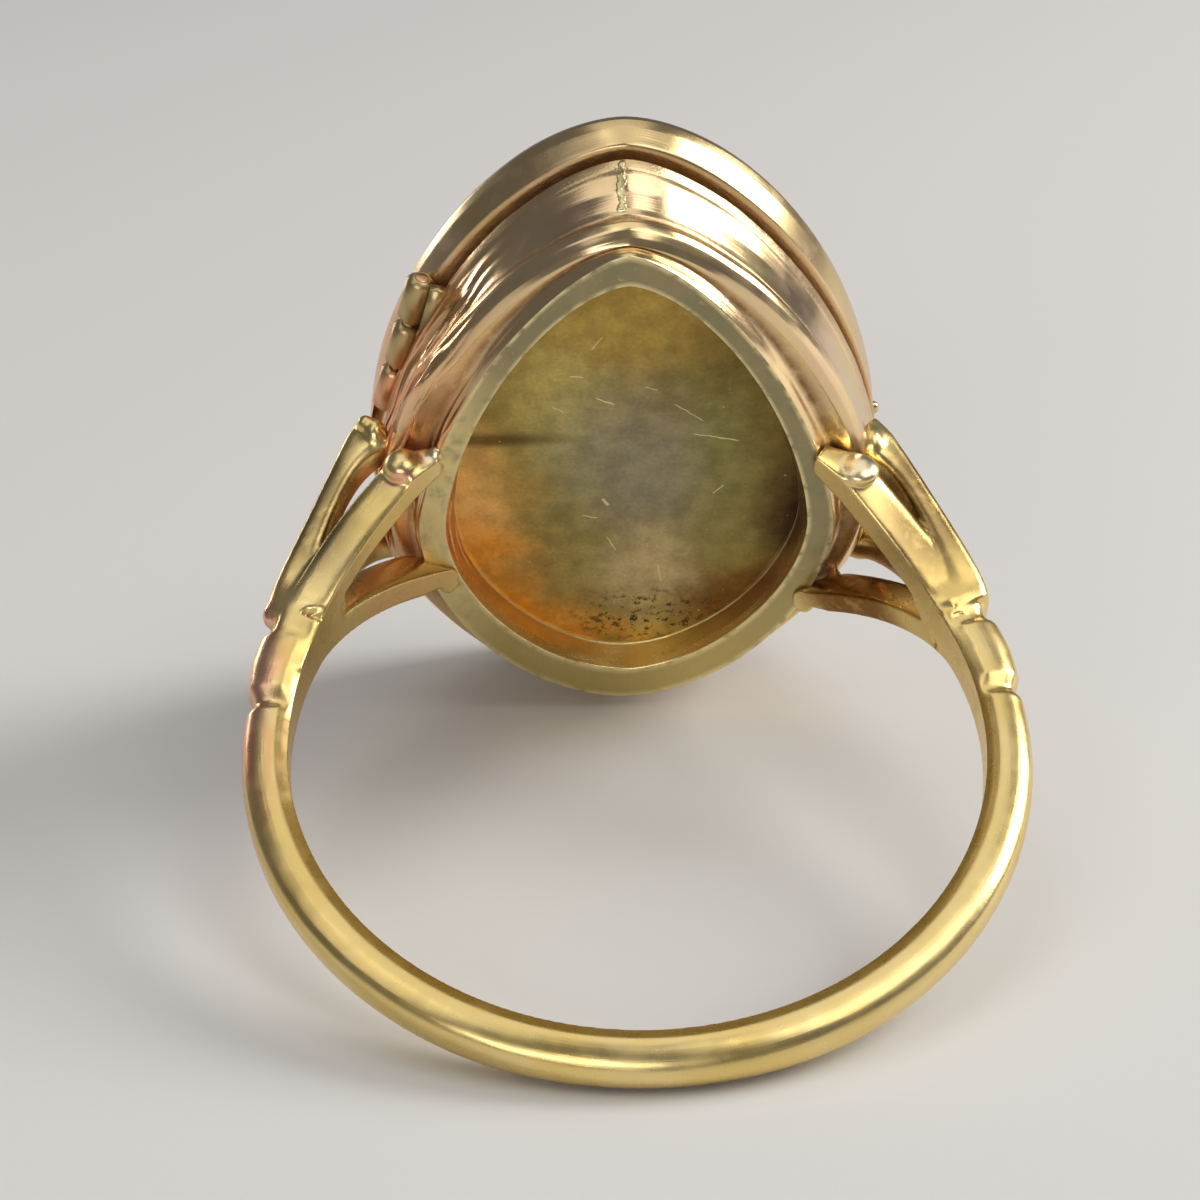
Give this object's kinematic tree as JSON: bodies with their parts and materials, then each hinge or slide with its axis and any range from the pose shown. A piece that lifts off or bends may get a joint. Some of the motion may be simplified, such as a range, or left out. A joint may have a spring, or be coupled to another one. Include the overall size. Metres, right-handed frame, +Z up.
{
  "type": "poison ring",
  "caption": "Gold finger ring with a split-shoulder band and a pear-shaped, stepped hollow case under a hinged domed lid, lying on its side; the case's back plate is stained.",
  "frame": {"origin": "centre of the bounding box's bottom, with the ring lying on its side: the band's outer edge and the case's round end touch the ground", "axes": "+X across the head, away from the hinged flank; +Y level, from the band's back to the head; +Z up. The finger's axis leans back from +Z by 22.5 degrees, towards -Y at its top, and the case's pointed end is uppermost"},
  "size_m": [0.0192, 0.0228, 0.0178],
  "materials": {
    "yellow_gold": "polished gold worn soft, with brown tarnish in its grooves and a matte stained back plate",
    "pin_gold": "polished gold",
    "lid_gold": "polished rose-tinted gold, worn soft"
  },
  "bodies": {
    "ring": {"band_and_case": "yellow_gold", "hinge_pin": "pin_gold"},
    "lid": {"lid": "lid_gold"}
  },
  "joints": [
    {"name": "lid_hinge", "type": "hinge", "parent": "ring", "child": "lid", "pos_m": [-0.00572, 0.00537, 0.01161], "axis": [0.2672, -0.3689, 0.8902], "range_deg": [0, 100]}
  ]
}
